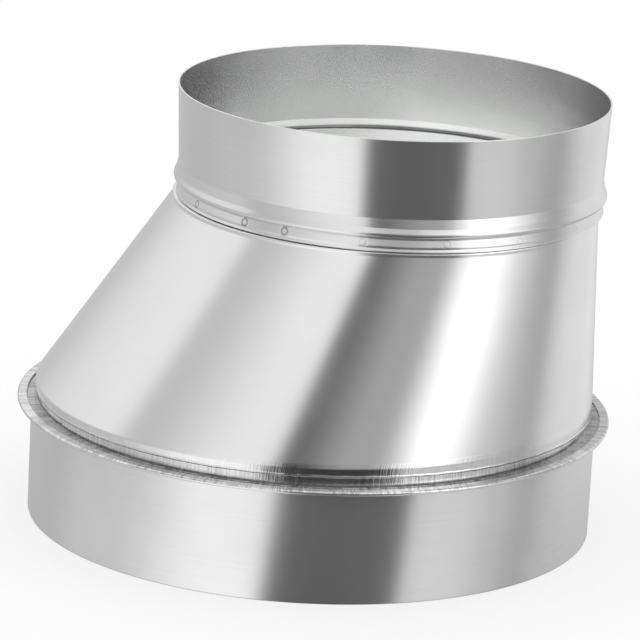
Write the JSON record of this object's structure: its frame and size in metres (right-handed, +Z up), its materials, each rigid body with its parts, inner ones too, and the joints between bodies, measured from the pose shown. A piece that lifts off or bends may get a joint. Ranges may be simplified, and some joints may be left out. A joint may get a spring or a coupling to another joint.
{
  "type": "duct reducer",
  "caption": "Offset round duct reducer in galvanised sheet: a slanted cone with one upright side between a large collar with a folded seam and a small collar with a stop bead.",
  "frame": {"origin": "centre of the large collar's free rim, on the large duct's axis", "axes": "+Z up along the ducts towards the small collar, +X towards the side where the cone runs almost straight up and the small duct's axis lies"},
  "size_m": [0.209, 0.209, 0.1565],
  "materials": {
    "large_collar_sheet": "satin galvanised sheet, fine rolling lines around the collar",
    "cone_sheet": "smooth satin galvanised sheet",
    "small_collar_sheet": "satin galvanised sheet, fine rolling lines around the collar"
  },
  "bodies": {
    "root": {"large_collar": "large_collar_sheet", "cone": "cone_sheet", "small_collar": "small_collar_sheet"}
  },
  "joints": []
}
